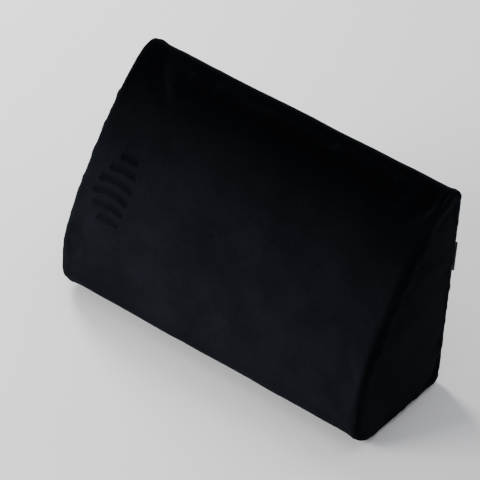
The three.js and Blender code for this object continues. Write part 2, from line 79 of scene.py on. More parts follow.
CENTRE = Vector((-0.0155, 0, 0.0964))  # what the camera and the lights are aimed at
CAMERA_AZIMUTH = 34.8
CAMERA_ELEVATION = 38.8
CAMERA_ROLL = 4.6
CAMERA_DISTANCE = 2.77
CAMERA_REACH = 50
LENS = 248
FLOOR_REACH = 6
WORLD_COLOUR = (0.9, 0.93, 1, 1)
WORLD_STRENGTH = 0.36
LIGHTS = (  # name, azimuth, elevation, distance, size and watts
    ("key", -34, 26, 1.6, (0.9, 0.7), 36),
    ("front_fill", 15, 20, 2.4, (1.2, 0.8), 6),
    ("overhead", 10, 84, 2.0, (1.6, 1.2), 12),
    ("rim", -112, 34, 1.4, (0.4, 0.9), 24),
    ("back_fill", 168, 32, 2.0, (1.4, 0.7), 11),
    ("end_fill", 98, 20, 2.4, (1.0, 1.0), 8),
)


def linked(name, data):
    obj = bpy.data.objects.new(name, data)
    bpy.context.scene.collection.objects.link(obj)
    return obj


def aimed(obj, azimuth, elevation, distance, roll=0.0):
    """Places something so that it looks at the cushion from there."""
    a, e, r = (math.radians(x) for x in (azimuth, elevation, roll))
    back = Vector((math.sin(a) * math.cos(e), -math.cos(a) * math.cos(e), math.sin(e)))
    level = Vector((0, 0, 1)).cross(back).normalized()
    right = level * math.cos(r) + back.cross(level) * math.sin(r)
    place = Matrix((right, back.cross(right), back)).transposed().to_4x4()
    place.translation = CENTRE + back * distance
    obj.matrix_world = place


def studio():
    data = bpy.data.cameras.new("camera")
    data.lens = LENS
    data.clip_end = CAMERA_REACH
    camera = linked("camera", data)
    aimed(camera, CAMERA_AZIMUTH, CAMERA_ELEVATION, CAMERA_DISTANCE, CAMERA_ROLL)
    bpy.context.scene.camera = camera
    for name, azimuth, elevation, distance, size, watts in LIGHTS:
        data = bpy.data.lights.new(name, "AREA")
        data.shape = "RECTANGLE"
        data.size, data.size_y = size
        data.energy = watts
        aimed(linked(name, data), azimuth, elevation, distance)
    world = bpy.data.worlds.new("world")
    world.use_nodes = True
    background = world.node_tree.nodes["Background"]
    background.inputs["Color"].default_value = WORLD_COLOUR
    background.inputs["Strength"].default_value = WORLD_STRENGTH
    bpy.context.scene.world = world
    mesh = bpy.data.meshes.new("floor")
    corners = [(x * FLOOR_REACH, y * FLOOR_REACH, 0) for x, y in ((-1, -1), (1, -1), (1, 1), (-1, 1))]
    mesh.from_pydata(corners, [], [(0, 1, 2, 3)])
    mesh.materials.append(floor_paper())
    linked("floor", mesh)


# ---- Materials ----


class Shader:
    """A small wrapper for building a Principled material out of nodes."""

    def __init__(self, name, roughness, metallic=0.0):
        self.material = bpy.data.materials.new(name)
        self.material.use_nodes = True
        self.tree = self.material.node_tree
        self.surface = self.tree.nodes["Principled BSDF"]
        self.set(self.surface, Roughness=roughness, Metallic=metallic)
        self.place = self.tree.nodes.new("ShaderNodeTexCoord").outputs["Object"]

    def set(self, node, **values):
        for key, value in values.items():
            node.inputs[key.replace("_", " ")].default_value = value

    def link(self, a, b):
        self.tree.links.new(a, b)

    def stretched(self, scale):
        """The object's coordinates, scaled apart along each axis."""
        node = self.tree.nodes.new("ShaderNodeMapping")
        self.set(node, Scale=scale)
        self.link(self.place, node.inputs["Vector"])
        return node.outputs["Vector"]

    def texture(self, kind, at, **values):
        node = self.tree.nodes.new(kind)
        self.set(node, **values)
        self.link(at or self.place, node.inputs["Vector"])
        return node

    def noise(self, scale, detail=2.0, rough=0.5, at=None):
        node = self.texture("ShaderNodeTexNoise", at, Scale=scale, Detail=detail, Roughness=rough)
        return node.outputs["Fac"]

    def cells(self, scale):
        return self.texture("ShaderNodeTexVoronoi", None, Scale=scale).outputs["Distance"]

    def waves(self, scale, direction, distortion=0.0, at=None):
        node = self.texture("ShaderNodeTexWave", at, Scale=scale, Distortion=distortion, Detail=1.0)
        node.bands_direction = direction
        return node.outputs["Fac"]

    def attribute(self, name):
        node = self.tree.nodes.new("ShaderNodeAttribute")
        node.attribute_name = name
        return node.outputs["Fac"]

    def math(self, operation, a, b):
        node = self.tree.nodes.new("ShaderNodeMath")
        node.operation = operation
        for socket, value in zip(node.inputs, (a, b)):
            if isinstance(value, (int, float)):
                socket.default_value = value
            else:
                self.link(value, socket)
        return node.outputs["Value"]

    def span(self, value, low, high, to_low=0.0, to_high=1.0):
        """A soft step from to_low to to_high as the value goes from low to high."""
        node = self.tree.nodes.new("ShaderNodeMapRange")
        node.interpolation_type = "SMOOTHSTEP"
        self.link(value, node.inputs["Value"])
        self.set(node, From_Min=low, From_Max=high, To_Min=to_low, To_Max=to_high)
        return node.outputs["Result"]

    def mix(self, amount, a, b):
        """A colour between a and b, each a colour or a socket."""
        node = self.tree.nodes.new("ShaderNodeMix")
        node.data_type = "RGBA"
        self.link(amount, node.inputs["Factor"])
        colours = [socket for socket in node.inputs if socket.type == "RGBA"]
        for socket, value in zip(colours, (a, b)):
            if isinstance(value, tuple):
                socket.default_value = (*value, 1)
            else:
                self.link(value, socket)
        return next(socket for socket in node.outputs if socket.type == "RGBA")

    def bumps(self, *layers):
        """Bump layers of (height socket, strength, distance in metres), the coarse ones first."""
        before = None
        for height, strength, distance in layers:
            node = self.tree.nodes.new("ShaderNodeBump")
            self.set(node, Strength=strength, Distance=distance)
            self.link(height, node.inputs["Height"])
            if before:
                self.link(before, node.inputs["Normal"])
            before = node.outputs["Normal"]
        self.link(before, self.surface.inputs["Normal"])

    def colour(self, socket):
        self.link(socket, self.surface.inputs["Base Color"])

    def roughness(self, socket):
        self.link(socket, self.surface.inputs["Roughness"])

    def sheen(self, weight, roughness, tint):
        self.set(self.surface, Sheen_Weight=weight, Sheen_Roughness=roughness, Sheen_Tint=(*tint, 1))


def floor_paper():
    s = Shader("floor_paper", 0.9)
    s.colour(s.mix(s.noise(3.0, 3.0), (0.70, 0.70, 0.71), (0.74, 0.74, 0.745)))
    s.bumps((s.noise(900.0), 0.04, 0.4 * MM))
    return s.material


def velour():
    """Short black pile: a mottled nap, with painted light and shade from two marks on the mesh: darkest where the
    surface faces away from the lights, and darker at the seams and in the sunk motif, where the pile is crushed
    and painted shade fills the dips.
    """
    s = Shader("velour", 1.0)
    nap = s.noise(26.0, 5.0, 0.62)
    drift = s.noise(7.0, 2.0, 0.5, at=s.stretched((1.0, 1.0, 1.8)))
    tufts = s.noise(1500.0, 2.0, 0.6)
    patches = s.math("ADD", s.math("MULTIPLY", nap, 0.65), s.math("MULTIPLY", drift, 0.35))
    brushed_and_lit = s.span(patches, 0.36, 0.64)
    pile = s.mix(brushed_and_lit, (0.0038, 0.0045, 0.0059), (0.0070, 0.0082, 0.0108))
    specks = s.mix(s.span(tufts, 0.4, 0.75), pile, (0.0084, 0.0097, 0.0125))
    shadows = s.span(s.noise(420.0, 3.0), 0.45, 0.75, 0.0, 0.35)
    grain = s.mix(shadows, specks, (0.0014, 0.0016, 0.0022))
    # Painted light and shade: near black where the surface faces away from the lights, the full pile colour where
    # it faces them.
    lit_pile_colour = s.mix(s.attribute("lay"), (0.0004, 0.0005, 0.0007), grain)
    # Darker at the seams and in the sunk motif: crushed pile, and painted shade in these dips.
    flattened_and_shaded = s.math("MULTIPLY", s.attribute("pressed"), 0.7)
    s.colour(s.mix(flattened_and_shaded, lit_pile_colour, (0.0009, 0.0010, 0.0014)))
    s.sheen(0.018, 0.35, (0.55, 0.64, 0.85))
    s.set(s.surface, Specular_IOR_Level=0.012)
    pile_height = s.noise(380.0, 3.0, 0.6)
    s.bumps((nap, 0.35, 2.6 * MM), (pile_height, 0.55, 0.8 * MM), (tufts, 0.8, 0.45 * MM))
    return s.material


def back_cloth():
    """The brushed knit of the back panels: fine ribs under a thin nap."""
    s = Shader("back_cloth", 0.95)
    knit = s.math("MULTIPLY", s.waves(190.0, "X"), s.waves(150.0, "Z"))
    worn = s.span(s.noise(22.0, 4.0), 0.35, 0.7)
    thread = s.mix(worn, (0.0105, 0.0115, 0.0135), (0.0175, 0.019, 0.022))
    s.colour(s.mix(s.span(knit, 0.0, 0.6), (0.005, 0.0055, 0.0065), thread))
    s.sheen(0.22, 0.5, (0.6, 0.64, 0.72))
    s.set(s.surface, Specular_IOR_Level=0.15)
    fuzz = s.noise(900.0, 3.0, 0.6)
    s.bumps((s.noise(30.0, 3.0), 0.2, 1.6 * MM), (knit, 0.6, 0.4 * MM), (fuzz, 0.4, 0.3 * MM))
    return s.material


def webbing():
    """Woven elastic: rubber cores run along it, and the covering yarn crosses them."""
    s = Shader("webbing", 0.85)
    cores = s.waves(165.0, "Z")
    yarn = s.waves(310.0, "X", 0.4)
    fleck = s.noise(700.0, 2.0)
    weave = s.span(s.math("MULTIPLY", cores, yarn), 0.0, 0.7)
    s.colour(s.mix(weave, (0.0045, 0.0048, 0.0054), (0.021, 0.022, 0.0245)))
    s.roughness(s.span(fleck, 0.3, 0.7, 0.72, 0.92))
    s.sheen(0.15, 0.45, (0.7, 0.72, 0.78))
    s.bumps((cores, 0.5, 0.4 * MM), (yarn, 0.6, 0.25 * MM), (fleck, 0.3, 0.15 * MM))
    return s.material


def herringbone():
    """A zip tape's slanting twill, turning back on itself in narrow bands."""
    s = Shader("zip_tape", 0.85)
    slant, other = (
        s.waves(240.0, "DIAGONAL", 0.2, at=s.stretched((way, 0.2, 1.0))) for way in (1.0, -1.0)
    )
    side = s.span(s.waves(60.0, "Z"), 0.48, 0.52)
    rest = s.math("SUBTRACT", 1.0, side)
    twill = s.math("ADD", s.math("MULTIPLY", slant, side), s.math("MULTIPLY", other, rest))
    s.colour(s.mix(s.span(twill, 0.2, 0.8), (0.006, 0.0063, 0.007), (0.018, 0.0185, 0.02)))
    s.sheen(0.1, 0.5, (0.7, 0.72, 0.78))
    s.bumps((twill, 0.6, 0.3 * MM), (s.noise(1100.0), 0.3, 0.12 * MM))
    return s.material


def moulded_plastic(name, tone, rough):
    """Moulded black plastic: spark texture, a little mould-flow variation and rubbed high spots."""
    s = Shader(name, rough)
    flow = s.noise(45.0, 3.0, at=s.stretched((1.0, 1.0, 3.0)))
    scuffs = s.span(s.noise(210.0, 4.0, 0.7, at=s.stretched((1.0, 1.0, 0.35))), 0.62, 0.72)
    dark, light, rubbed = (
        tuple(tone * part for part in parts)
        for parts in ((0.6, 0.62, 0.66), (1.2, 1.22, 1.28), (1.7, 1.717, 1.768))
    )
    s.colour(s.mix(scuffs, s.mix(s.span(flow, 0.35, 0.7), dark, light), rubbed))
    s.roughness(s.span(s.noise(130.0, 4.0), 0.3, 0.72, rough - 0.08, rough + 0.12))
    spark = s.noise(2200.0, 2.0)
    s.bumps((flow, 0.1, 0.6 * MM), (spark, 0.7, 0.09 * MM), (scuffs, -0.2, 0.04 * MM))
    return s.material


def enamel():
    """Black enamel on a die-cast zip part, worn to grey metal in small spots."""
    s = Shader("enamel", 0.3, 0.25)
    chips = s.span(s.noise(520.0, 4.0, 0.7), 0.66, 0.74)
    s.colour(s.mix(chips, (0.017, 0.0175, 0.019), (0.16, 0.16, 0.165)))
    s.roughness(s.span(s.noise(240.0, 3.0), 0.3, 0.7, 0.22, 0.42))
    s.bumps((s.noise(300.0, 3.0), 0.12, 0.15 * MM), (chips, -0.3, 0.05 * MM))
    return s.material


def sewing_thread():
    s = Shader("sewing_thread", 0.55)
    twist = s.waves(1500.0, "DIAGONAL")
    s.colour(s.mix(twist, (0.016, 0.017, 0.02), (0.045, 0.047, 0.053)))
    s.sheen(0.2, 0.4, (0.8, 0.82, 0.9))
    s.bumps((twist, 0.6, 0.1 * MM))
    return s.material


def satin():
    s = Shader("label_satin", 0.42)
    weft = s.waves(1300.0, "X", 0.3)
    s.colour(s.mix(weft, (0.018, 0.0185, 0.02), (0.032, 0.033, 0.036)))
    s.roughness(s.span(s.noise(160.0, 3.0), 0.3, 0.7, 0.36, 0.5))
    s.bumps((weft, 0.4, 0.12 * MM), (s.noise(60.0), 0.1, 1 * MM))
    return s.material


def open_foam():
    """Moulded foam with open cells and the faint yellowing it gets with age."""
    s = Shader("foam", 0.95)
    cells = s.cells(900.0)
    skin = s.mix(s.noise(14.0, 4.0), (0.78, 0.70, 0.46), (0.84, 0.79, 0.60))
    # Darker at the middle of each cell: painted shade in the open pores.
    s.colour(s.mix(s.span(cells, 0.0, 0.35), (0.45, 0.38, 0.22), skin))
    s.bumps((s.noise(60.0, 3.0), 0.3, 2 * MM), (cells, 0.8, 0.6 * MM))
    return s.material


def lining():
    s = Shader("lining", 0.95)
    knit = s.math("MULTIPLY", s.waves(420.0, "X"), s.waves(420.0, "Z"))
    s.colour(s.mix(knit, (0.62, 0.61, 0.58), (0.82, 0.81, 0.78)))
    s.sheen(0.2, 0.5, (1, 1, 1))
    s.bumps((s.noise(35.0), 0.2, 1.5 * MM), (knit, 0.5, 0.2 * MM))
    return s.material


MATERIALS = {  # by the record's material slots
    "velour": velour(),
    "back_cloth": back_cloth(),
    "foam": open_foam(),
    "lining": lining(),
    "webbing": webbing(),
    "zip_tape": herringbone(),
    "label": satin(),
    "coil": moulded_plastic("coil_nylon", 0.017, 0.38),
    "buckle": moulded_plastic("buckle_plastic", 0.019, 0.42),
    "zip_metal": enamel(),
}
THREAD_MATERIAL = sewing_thread()


# ---- Grids and meshes ----

SAME_POINT = 1e-5
NOISE_SHIFT = (7.3, 3.1, 5.7)  # for each seed, along each axis


def spline(rows, at):
    """Smooth interpolation between the rows of an array, at fractional row numbers."""
    last = len(rows) - 1
    i = np.clip(np.floor(at).astype(int), 0, last - 1)
    t = (at - i).reshape(-1, *[1] * (rows.ndim - 1))
    before, here, there, after = (rows[np.clip(i + k, 0, last)] for k in (-1, 0, 1, 2))
    curve = 2 * before - 5 * here + 4 * there - after
    return 0.5 * (2 * here + (there - before) * t + curve * t**2
                  + (3 * here - before - 3 * there + after) * t**3)


def travel_along(points):
    """Distance travelled at each point of a line."""
    runs = np.linalg.norm(np.diff(points, axis=0), axis=-1)
    if runs.ndim > 1:
        runs = runs.mean(1)
    return np.concatenate([[0], np.cumsum(runs)])


def unit(vectors):
    return vectors / np.linalg.norm(vectors, axis=-1, keepdims=True)


def grid_of(x, y, z):
    return np.stack(np.broadcast_arrays(x, y, z), -1)


def normals(grid):
    """Unit normals of a grid of points."""
    n = np.cross(np.gradient(grid, axis=0), np.gradient(grid, axis=1))
    return n / np.maximum(np.linalg.norm(n, axis=2, keepdims=True), 1e-12)


def faces_in(grid):
    """Whether a grid's normals point towards the cushion's middle."""
    outward = grid - np.array([0, 0, 0.45 * HEIGHT])
    return (normals(grid) * outward).sum() < 0


def wobble(points, size, seed):
    """Smooth noise from -1 to 1 at each point, with features of about that size."""
    shift = Vector([seed * step for step in NOISE_SHIFT])
    values = [noise.noise(Vector(p) / size + shift) for p in points.reshape(-1, 3)]
    return np.array(values).reshape(points.shape[:-1])


def bell(distance, centre, width):
    return np.exp(-(((distance - centre) / width) ** 2))


def eased(t):
    """A soft step from 0 to 1."""
    t = np.clip(t, 0, 1)
    return t * t * (3 - 2 * t)


def quads_of(number):
    """Faces of a grid, from its vertex numbers."""
    corners = [number[:-1, :-1], number[1:, :-1], number[1:, 1:], number[:-1, 1:]]
    return np.stack(corners, 2).reshape(-1, 4)


def face_outward(mesh):
    b = bmesh.new()
    b.from_mesh(mesh)
    bmesh.ops.recalc_face_normals(b, faces=b.faces)
    if b.calc_volume(signed=True) < 0:
        bmesh.ops.reverse_faces(b, faces=b.faces)
    b.to_mesh(mesh)
    b.free()


def closed_mesh(name, points, faces, **marks):
    """A mesh that faces outwards, with an attribute for each mark."""
    mesh = bpy.data.meshes.new(name)
    mesh.from_pydata(points.tolist(), [], faces if isinstance(faces, list) else faces.tolist())
    for mark, values in marks.items():
        layer = mesh.attributes.new(mark, "FLOAT", "POINT")
        layer.data.foreach_set("value", values.astype(np.float32))
    face_outward(mesh)
    return mesh


def swept(name, rings):
    """A mesh through a row of rings of points, with closed ends."""
    number = np.arange(rings.shape[0] * rings.shape[1]).reshape(rings.shape[:2])
    number = np.column_stack([number, number[:, :1]])
    faces = quads_of(number).tolist() + [number[0, :-1][::-1].tolist(), number[-1, :-1].tolist()]
    return closed_mesh(name, rings.reshape(-1, 3), faces)


def grid_numbers(grid):
    """Vertex numbers of a grid, and those of its rim in order."""
    number = np.arange(grid.shape[0] * grid.shape[1]).reshape(grid.shape[:2])
    rim = [number[:, 0], number[-1, 1:], number[-2::-1, -1], number[0, -2:0:-1]]
    return number, np.concatenate(rim)


def two_sided(name, outer, inner, faces, rim, **marks):
    """A closed mesh of cloth: its outer side, its inner one, and the strip round their rim."""
    under = len(outer)
    onward = np.roll(rim, -1)
    strip = np.stack([onward, rim, rim + under, onward + under], 1)
    marks = {mark: np.tile(values.ravel(), 2) for mark, values in marks.items()}
    everything = np.concatenate([faces, faces[:, ::-1] + under, strip])
    return closed_mesh(name, np.concatenate([outer, inner]), everything, **marks)


def shell(name, outer, thick, **marks):
    """A closed mesh of cloth, from the grid of its outer side."""
    if faces_in(outer):
        outer = outer[::-1]
        marks = {mark: values[::-1] for mark, values in marks.items()}
    number, rim = grid_numbers(outer)
    inner = outer - normals(outer) * thick
    return two_sided(name, outer.reshape(-1, 3), inner.reshape(-1, 3), quads_of(number), rim, **marks)


def dressed(name, mesh, body, slot, *stands_for, material=None):
    """Links a mesh as a piece that rides on a body and stands for CAD nodes."""
    mesh.materials.clear()
    mesh.materials.append(material or MATERIALS[slot])
    for face in mesh.polygons:
        face.use_smooth = True
    obj = linked(name, mesh)
    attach(obj, body)
    if stands_for:
        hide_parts(*stands_for)
    return obj


# ---- The cushion's form ----

BOTTOM_STEPS = 20  # along the underside, and round the crest
HEEL_STEPS = 3
LOWER_STEPS = 6
SLOT_STEPS = 3
UPPER_STEPS = 32
SIDE_STEPS = HEEL_STEPS + LOWER_STEPS + SLOT_STEPS + UPPER_STEPS
LOOP = 2 * (BOTTOM_STEPS + SIDE_STEPS)
LENGTH_STEPS = 72
HEEL_MIDDLE = 0.29  # share of the heel's radius at the middle of its curve
TUCK = 1.6 * MM  # how far the form is drawn in before it swells
FLAT_BACK = 0.5 * MM  # points this close to the back are held
SIMULATED_FRAMES = 20
CLOTH_SETTINGS = {
    "quality": 6,
    "mass": 0.2,
    "tension_stiffness": 25,
    "compression_stiffness": 25,
    "shear_stiffness": 12,
    "bending_stiffness": 1.2,
    "use_pressure": True,
    "uniform_pressure_force": 4,
    "shrink_min": -0.012,
    "vertex_group_mass": "held",
}
SWELL_CAP = 4 * MM
FOAM_GIVE = -0.3 * MM  # the foam lets the cover sink this little
SLIP_CAP = 0.6 * MM


def cad_outline():
    """The end panel's outline as (y, z), anticlockwise as it is seen from +X, from its front foot."""
    panel = frame["nodes"]["cover_end_right"].data
    far = max(v.co.x for v in panel.vertices)
    near_far = [v.co for v in panel.vertices if far - v.co.x < SAME_POINT]
    points = {(round(co.y, 6), round(co.z, 6)) for co in near_far}
    middle = np.mean(list(points), 0)
    ordered = sorted(points, key=lambda p: math.atan2(p[1] - middle[1], p[0] - middle[0]))
    outline = np.array(ordered)
    foot = np.argmin(outline[:, 0] + outline[:, 1])
    return np.roll(outline, -foot, 0)


def along(outline, start, end, count):
    """Evenly spaced points on a closed outline, between those nearest to start and end."""
    closed = np.concatenate([outline, outline, outline[:1]])
    far = travel_along(closed)
    n = len(outline)

    def station(p):
        runs = np.diff(closed[:n + 1], axis=0)
        share = np.clip(((p - closed[:n]) * runs).sum(1) / (runs**2).sum(1), 0, 1)
        distance = np.linalg.norm(closed[:n] + runs * share[:, None] - p, axis=1)
        k = int(np.argmin(distance))
        return far[k] + share[k] * (far[k + 1] - far[k])

    a, b = station(np.array(start)), station(np.array(end))
    if b <= a:
        b += far[n]
    where = np.linspace(a, b, count + 1)[:-1]
    return np.stack([np.interp(where, far, closed[:, k]) for k in (0, 1)], 1)


def facing(kind):
    """The levels at which a lower and an upper node face each other across the zip."""
    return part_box(kind + "_lower")[1].z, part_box(kind + "_upper")[0].z


def section_loop():
    """LOOP points round the section, with stations where the panels meet and at four corners."""
    outline = cad_outline()
    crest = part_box("cover_back_upper")[1].z + GAP
    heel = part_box("cover_back_lower")[0].z - GAP
    slot_low, slot_high = facing("cover_back")
    shin = outline[0]
    top = outline[np.argmax(outline[:, 1])]
    stations = [
        (shin, BOTTOM_STEPS),
        ((BACK - HEEL_MIDDLE * heel, HEEL_MIDDLE * heel), HEEL_STEPS),
        ((BACK, heel), LOWER_STEPS),
        ((BACK, slot_low), SLOT_STEPS),
        ((BACK, slot_high), UPPER_STEPS),
        ((BACK, crest), BOTTOM_STEPS),
        (top, SIDE_STEPS),
    ]
    ends = [place for place, _ in stations[1:]] + [shin]
    return np.concatenate([along(outline, a, b, n) for (a, n), b in zip(stations, ends)])


def loop_sides(loop):
    """A loop's foot, rear, crest and front, each running back or up."""
    a, b = BOTTOM_STEPS, SIDE_STEPS
    loop = np.concatenate([loop, loop[:1]])
    return loop[:a + 1], loop[a:a + b + 1], loop[a + b:2 * a + b + 1][::-1], loop[2 * a + b:][::-1]


def cap_grid(loop):
    """A four-sided patch inside the loop, whose edges are the loop's own points."""
    foot, rear, crest, front = loop_sides(loop)
    u = np.linspace(0, 1, len(foot))[:, None, None]
    v = np.linspace(0, 1, len(rear))[None, :, None]
    corners = ((1 - u) * (1 - v) * foot[0] + u * (1 - v) * foot[-1]
               + u * v * crest[-1] + (1 - u) * v * crest[0])
    return ((1 - v) * foot[:, None] + v * crest[:, None]
            + (1 - u) * front[None] + u * rear[None] - corners)


def cap_numbers(loop_numbers, first_inner):
    """Vertex numbers of a cap's grid: its rim is a loop of the tube, and its inside is new."""
    a, b = BOTTOM_STEPS, SIDE_STEPS
    grid = np.zeros((a + 1, b + 1), int)
    grid[1:-1, 1:-1] = first_inner + np.arange((a - 1) * (b - 1)).reshape(a - 1, b - 1)
    grid[:, 0], grid[-1], grid[:, -1], grid[0] = loop_sides(loop_numbers)
    return grid


def closed_form(loops, x):
    """Points and faces of a closed body: a loop at each x, and a cap on both ends.
    Also the vertex numbers of its tube and of its two caps."""
    numbers = np.arange(len(x) * LOOP).reshape(-1, LOOP)
    inside = (BOTTOM_STEPS - 1) * (SIDE_STEPS - 1)
    caps = [cap_numbers(numbers[k], numbers.size + n * inside) for n, k in enumerate((0, -1))]
    tube = np.concatenate([np.repeat(x[:, None, None], LOOP, 1), loops], 2)
    points = [tube.reshape(-1, 3)]
    for k in (0, -1):
        patch = cap_grid(loops[k])[1:-1, 1:-1].reshape(-1, 2)
        points.append(np.column_stack([np.full(len(patch), x[k]), patch]))
    around = np.column_stack([numbers, numbers[:, :1]])
    faces = np.concatenate([quads_of(around), quads_of(caps[0]), quads_of(caps[1])])
    return np.concatenate(points), faces, numbers, caps


def drawn_in(loop, distance):
    """A section loop moved inwards, square to itself."""
    onward = unit(np.roll(loop, -1, 0) - np.roll(loop, 1, 0))
    return loop + np.column_stack([-onward[:, 1], onward[:, 0]]) * distance


def cushion_form():
    """The cover's closed form once it has swelled, as a tube of loops along X and two caps."""
    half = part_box("cover_end_right")[1].x
    x = np.linspace(-half + TUCK, half - TUCK, LENGTH_STEPS + 1)
    loops = np.repeat(drawn_in(section_loop(), TUCK)[None], len(x), 0)
    points, faces, numbers, caps = closed_form(loops, x)
    held = points[:, 1].max() - points[:, 1] < FLAT_BACK
    held[numbers[0]] = held[numbers[-1]] = True
    swollen = swell(points, faces, np.flatnonzero(held))
    return swollen[numbers], [swollen[c] for c in caps]


def simulated(form, count):
    """Where the form's points are once cloth under pressure has settled."""
    cloth = form.modifiers.new("cloth", "CLOTH")
    for name, value in CLOTH_SETTINGS.items():
        setattr(cloth.settings, name, value)
    cloth.settings.effector_weights.gravity = 0
    cloth.collision_settings.use_collision = False
    for number in range(1, SIMULATED_FRAMES + 1):
        bpy.context.scene.frame_set(number)
    result = form.evaluated_get(bpy.context.evaluated_depsgraph_get()).to_mesh()
    flat = np.empty(count * 3)
    result.vertices.foreach_get("co", flat)
    bpy.context.scene.frame_set(1)
    return flat.reshape(-1, 3)


def swell(points, faces, held):
    """Blows the closed form up as cloth over firm foam, and keeps it near where it began.
    The held points are those on the sewn seams and the flat back."""
    mesh = closed_mesh("form", points, faces)
    form = linked("form", mesh)
    form.vertex_groups.new(name="held").add(held.tolist(), 1.0, "REPLACE")
    normal = np.empty(len(points) * 3)
    mesh.vertices.foreach_get("normal", normal)
    normal = normal.reshape(-1, 3)
    moved = simulated(form, len(points))
    bpy.data.objects.remove(form)
    push = moved - points
    out = (push * normal).sum(1, keepdims=True)
    sideways = push - normal * out
    out = SWELL_CAP * np.tanh(np.maximum(out, FOAM_GIVE) / SWELL_CAP)
    slip = np.linalg.norm(sideways, axis=1, keepdims=True)
    return points + normal * out + sideways * SLIP_CAP / (SLIP_CAP + slip)


# ---- Cover panels ----

CLOTH = 1.5 * MM
TURN_IN = (0.8 * MM, 1.8 * MM, 3.4 * MM)  # depths of the seam allowance's rows below a seam
TURN_STEEP = 0.8  # how steeply a seam allowance goes into the cushion
FRONT_STEEP = 0.75  # and the front panel's
TURN_ASIDE = 0.2  # how far it leans under its own panel at an end
TURN_UNDER = 0.12  # and at a long seam
FINE = 1.15 * MM
COARSE = 2.6 * MM
EDGE_ZONE = 9 * MM  # beside an edge, where the steps are fine
SEAM_DIP = 1.1 * MM
SEAM_RIDGE = 0.8 * MM
PUCKER = 0.55 * MM
PUCKER_SIZE = 9 * MM
SEAM_WAVE = 0.35 * MM
SEAM_WAVE_SIZE = 42 * MM
SEAM_SHADE = 1.6 * MM  # width of the darkened band beside a seam: pressed pile, and painted shade in the seam's dip
LONG_SEAM = 0.7  # the long seams are flatter than the ends' by this

EMBLEM_WIDTHS = [w * MM for w in (19, 28, 35, 37, 32, 24)]
EMBLEM_LEANS = [w * MM for w in (3.5, 1.5, -1.0, -2.0, -0.5, 2.5)]  # each bar's middle, in a gentle S
EMBLEM_PITCH = 11.2 * MM
EMBLEM_BAR = 4.8 * MM
EMBLEM_SAG = 3.4 * MM  # how far a long bar's ends droop
EMBLEM_FROM_END = 38 * MM
EMBLEM_HEIGHT = 0.56  # of the cushion's height
EMBLEM_ZONE = (40 * MM, 24 * MM)  # half the finely stepped patch, up the front and along it
EMBLEM_DEPTH = 1.15 * MM
EMBLEM_EDGE = 0.5 * MM
EMBLEM_LIP = 0.45 * MM


def resampled(form, fine_rows=(), fine_columns=()):
    """A grid at fine steps by its edges and in the given zones, and the distances along it."""
    stations = []
    for zones in (fine_rows, fine_columns):
        travelled = travel_along(form)
        total = travelled[-1]
        zones = [(0, EDGE_ZONE), (total - EDGE_ZONE, total), *zones]
        at = [0.0]
        while at[-1] < total - 1e-9:
            near = any(a <= at[-1] <= b for a, b in zones)
            at.append(at[-1] + (FINE if near else COARSE))
        at = np.array(at) * total / at[-1]
        form = spline(form, np.interp(at, travelled, np.arange(len(travelled)))).transpose(1, 0, 2)
        stations.append(at)
    return form, np.meshgrid(*stations, indexing="ij")


def to_edge(at):
    """Distance to the nearer end, from distances along a grid."""
    return np.minimum(at, at.max() - at)


def seam_relief(distance, points, seed):
    """Height beside a sewn seam: a dip at it, a soft ridge by it, and puckers that fade out."""
    dip = -SEAM_DIP * bell(distance, 0, 2.0 * MM)
    ridge = SEAM_RIDGE * bell(distance, 5.5 * MM, 3.5 * MM)
    fade = np.exp(-distance / PUCKER_SIZE) * (1 - np.exp(-distance / (1.5 * MM)))
    pucker = PUCKER * fade * wobble(points, PUCKER_SIZE, seed)
    wide = SEAM_WAVE * np.exp(-distance / (30 * MM)) * wobble(points, SEAM_WAVE_SIZE, seed + 1)
    return dip + ridge + pucker + wide * (1 - np.exp(-distance / (6 * MM)))


def turned_in(grid, first, last):
    """Adds a seam allowance's rows before and after a grid, each along its direction."""
    before = [grid[0] + first * depth for depth in TURN_IN[::-1]]
    after = [grid[-1] + last * depth for depth in TURN_IN]
    return np.concatenate([before, grid, after])


def turned_in_sides(grid, first, last):
    return turned_in(grid.transpose(1, 0, 2), first, last).transpose(1, 0, 2)


def emblem(x, run):
    """Signed distance to the sunken motif, a column of drooping bars like a spine."""
    nearest = np.full(x.shape, 1.0)
    for n, (width, lean) in enumerate(zip(EMBLEM_WIDTHS, EMBLEM_LEANS)):
        centre = (n - (len(EMBLEM_WIDTHS) - 1) / 2) * EMBLEM_PITCH
        aside = x - lean
        droop = EMBLEM_SAG * (aside / max(EMBLEM_WIDTHS) * 2) ** 2
        over = np.maximum(np.abs(aside) - (width / 2 - EMBLEM_BAR / 2), 0)
        nearest = np.minimum(nearest, np.hypot(over, run - centre - droop) - EMBLEM_BAR / 2)
    return nearest


def nap_lay(grid):
    """Painted light for the velour, from the way each point faces: full on the forward-facing belly, fading to
    almost none up the crest, less low down and towards the +X end, with a little kept where it faces back or to
    the ends.
    """
    n = normals(grid)
    if faces_in(grid):
        n = -n
    forward = np.clip(-n[..., 1], 0, 1)
    height = np.clip(grid[..., 2] / HEIGHT, 0, 1)
    upper = np.clip((height - 0.35) / 0.6, 0, 1)
    lower = np.clip((0.16 - height) / 0.16, 0, 1)
    # Painted shade: less light up the crest and low down.
    brushed_and_lit = np.clip(forward * 1.25, 0, 1) * (1 - 0.97 * upper**1.3) * (1 - 0.45 * lower)
    # Painted shade towards the +X end.
    side = np.clip(grid[..., 0] / CAD_BOX[1].x, 0, 1)
    brushed_and_lit *= 1 - 0.3 * side**2
    return np.maximum(brushed_and_lit, 0.4 * np.clip(n[..., 1], 0, 1) + 0.55 * np.abs(n[..., 0]))


def settled(points):
    """Flat where the cushion stands, and no further back than the back panel."""
    points = points.copy()
    points[..., 2] = np.maximum(points[..., 2], 0.0)
    points[..., 1] = np.minimum(points[..., 1], BACK - 0.1 * MM)
    return points


